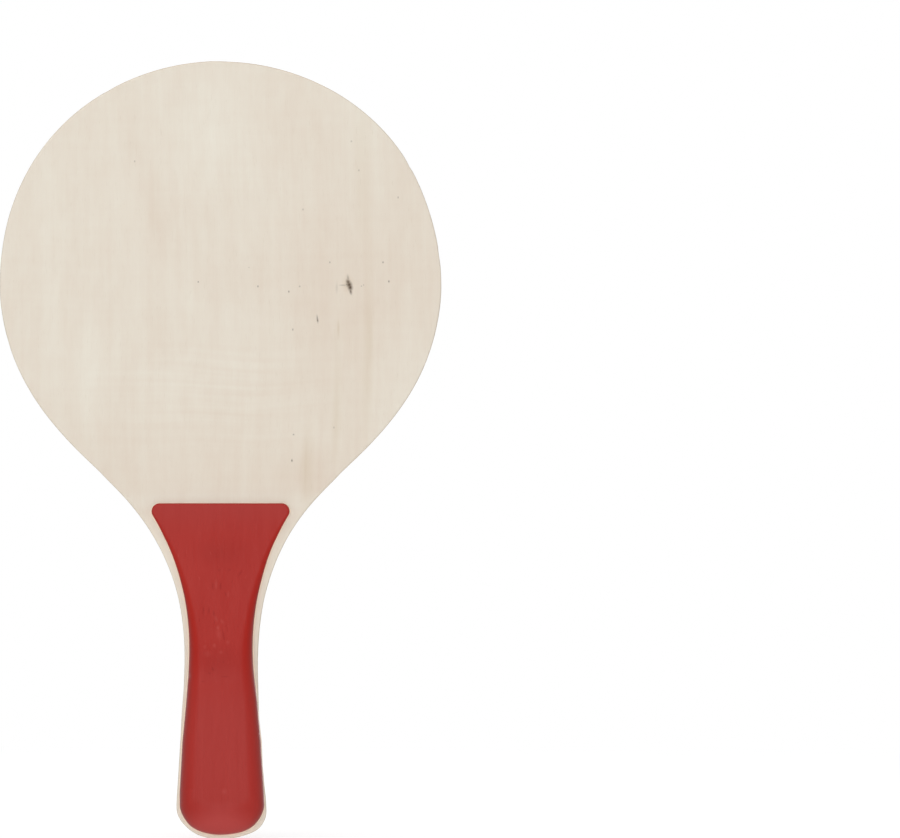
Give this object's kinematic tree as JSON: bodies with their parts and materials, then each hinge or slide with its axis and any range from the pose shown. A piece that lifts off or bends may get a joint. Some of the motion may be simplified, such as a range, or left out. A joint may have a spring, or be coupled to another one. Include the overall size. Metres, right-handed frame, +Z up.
{
  "type": "beach paddle",
  "caption": "Wooden beach paddle with a round plywood head, a narrow neck and a red painted handle of two glued and pinned wooden scales.",
  "frame": {"origin": "middle of the grip, 55 mm above the butt end, on the centre line and halfway through the blade", "axes": "+Z up the handle towards the head, -Y out of the front face, +X to the right seen from the front"},
  "size_m": [0.1876, 0.0236, 0.33],
  "materials": {
    "face_veneer": "pale sanded face veneer with a thin matt lacquer",
    "crossband": "raw sawn and sanded ply edge, end grain",
    "core": "raw sawn and sanded ply edge, long grain",
    "red_paint": "satin red paint on wood, with the grain showing faintly",
    "brad_steel": "bright drawn wire"
  },
  "bodies": {
    "root": {"front_face_veneer": "face_veneer", "front_crossband": "crossband", "core_ply": "core", "back_crossband": "crossband", "back_face_veneer": "face_veneer", "handle_scale_front": "red_paint", "handle_scale_back": "red_paint", "brad_front": "brad_steel", "brad_back": "brad_steel"}
  },
  "joints": []
}
